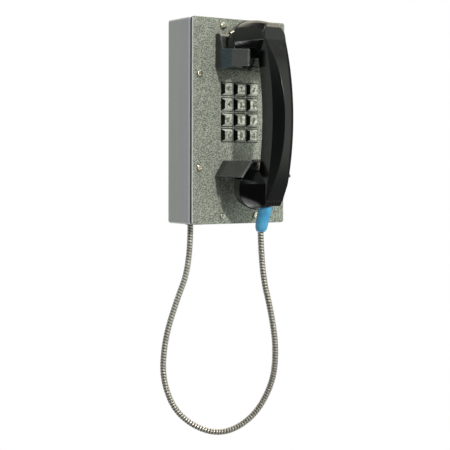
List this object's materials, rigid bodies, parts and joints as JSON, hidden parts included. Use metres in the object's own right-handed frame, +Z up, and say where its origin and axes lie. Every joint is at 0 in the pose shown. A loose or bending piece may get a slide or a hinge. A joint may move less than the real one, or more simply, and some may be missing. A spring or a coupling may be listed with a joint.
{
  "type": "wall telephone",
  "caption": "Surface-mounted wall telephone: steel box, metal keypad, two handset cradles and a black handset on an armoured cord.",
  "frame": {"origin": "centre of the box's back face, on the wall", "axes": "+X to the right seen from the front, +Y into the wall, +Z up"},
  "size_m": [0.1601, 0.1581, 0.5217],
  "materials": {
    "box_paint": "smooth satin grey paint",
    "hammertone_paint": "fine hammertone grey-green paint",
    "black_rubber": "matt",
    "nickel_steel": "bright nickel",
    "cradle_black": "semi-gloss black",
    "keypad_zinc": "satin chrome",
    "frame_zinc": "as cast",
    "silicone": "matt",
    "circuit_board": "solder mask",
    "cable_grey": "satin",
    "brass": "satin",
    "green_plastic": "moulded",
    "inner_black": "moulded",
    "ceramic": "glazed",
    "glass_tube": "clear",
    "handset_black": "gloss black",
    "capsule_metal": "satin",
    "boot_blue": "semi-gloss",
    "cord_steel": "bright interlocked strip"
  },
  "bodies": {
    "housing": {"back_box": "box_paint", "front_plate": "hammertone_paint", "plate_gasket": "black_rubber", "plate_screws": "nickel_steel", "weld_nuts": "nickel_steel", "upper_cradle": "cradle_black", "lower_cradle": "cradle_black", "cradle_screws": "nickel_steel", "keypad_frame": "frame_zinc", "dome_mat": "silicone", "keypad_board": "circuit_board", "keypad_studs": "nickel_steel", "keypad_nuts": "nickel_steel", "keypad_ribbon": "cable_grey", "main_board": "circuit_board", "board_standoffs": "brass", "board_screws": "nickel_steel", "terminal_block": "green_plastic", "line_transformer": "inner_black", "ringer": "inner_black", "surge_arrestor": "ceramic", "handset_socket": "inner_black", "reed_switch": "glass_tube", "reed_holder": "inner_black", "cord_bushing": "inner_black", "bushing_nut": "nickel_steel", "line_grommet": "black_rubber", "armoured_cord": "cord_steel"},
    "key_1": {"key_1": "keypad_zinc"},
    "key_2": {"key_2": "keypad_zinc"},
    "key_3": {"key_3": "keypad_zinc"},
    "key_4": {"key_4": "keypad_zinc"},
    "key_5": {"key_5": "keypad_zinc"},
    "key_6": {"key_6": "keypad_zinc"},
    "key_7": {"key_7": "keypad_zinc"},
    "key_8": {"key_8": "keypad_zinc"},
    "key_9": {"key_9": "keypad_zinc"},
    "key_star": {"key_star": "keypad_zinc"},
    "key_0": {"key_0": "keypad_zinc"},
    "key_hash": {"key_hash": "keypad_zinc"},
    "handset": {"handset_shell": "handset_black", "ear_cap": "handset_black", "mouth_cap": "handset_black", "receiver_capsule": "capsule_metal", "microphone_capsule": "capsule_metal", "receiver_gasket": "black_rubber", "microphone_gasket": "black_rubber", "hook_magnet": "capsule_metal", "cord_boot": "boot_blue", "cord_anchor": "capsule_metal"}
  },
  "joints": [
    {"name": "key_1_press", "type": "slide", "parent": "housing", "child": "key_1", "axis": [0, 1, 0], "range_m": [0, 0.0018], "stiffness_N_per_m": 600},
    {"name": "key_2_press", "type": "slide", "parent": "housing", "child": "key_2", "axis": [0, 1, 0], "range_m": [0, 0.0018], "stiffness_N_per_m": 600},
    {"name": "key_3_press", "type": "slide", "parent": "housing", "child": "key_3", "axis": [0, 1, 0], "range_m": [0, 0.0018], "stiffness_N_per_m": 600},
    {"name": "key_4_press", "type": "slide", "parent": "housing", "child": "key_4", "axis": [0, 1, 0], "range_m": [0, 0.0018], "stiffness_N_per_m": 600},
    {"name": "key_5_press", "type": "slide", "parent": "housing", "child": "key_5", "axis": [0, 1, 0], "range_m": [0, 0.0018], "stiffness_N_per_m": 600},
    {"name": "key_6_press", "type": "slide", "parent": "housing", "child": "key_6", "axis": [0, 1, 0], "range_m": [0, 0.0018], "stiffness_N_per_m": 600},
    {"name": "key_7_press", "type": "slide", "parent": "housing", "child": "key_7", "axis": [0, 1, 0], "range_m": [0, 0.0018], "stiffness_N_per_m": 600},
    {"name": "key_8_press", "type": "slide", "parent": "housing", "child": "key_8", "axis": [0, 1, 0], "range_m": [0, 0.0018], "stiffness_N_per_m": 600},
    {"name": "key_9_press", "type": "slide", "parent": "housing", "child": "key_9", "axis": [0, 1, 0], "range_m": [0, 0.0018], "stiffness_N_per_m": 600},
    {"name": "key_star_press", "type": "slide", "parent": "housing", "child": "key_star", "axis": [0, 1, 0], "range_m": [0, 0.0018], "stiffness_N_per_m": 600},
    {"name": "key_0_press", "type": "slide", "parent": "housing", "child": "key_0", "axis": [0, 1, 0], "range_m": [0, 0.0018], "stiffness_N_per_m": 600},
    {"name": "key_hash_press", "type": "slide", "parent": "housing", "child": "key_hash", "axis": [0, 1, 0], "range_m": [0, 0.0018], "stiffness_N_per_m": 600},
    {"name": "handset_tip", "type": "hinge", "parent": "housing", "child": "handset", "pos_m": [0, -0.07715, 0.108], "axis": [-1, 0, 0], "range_deg": [0, 20]}
  ]
}
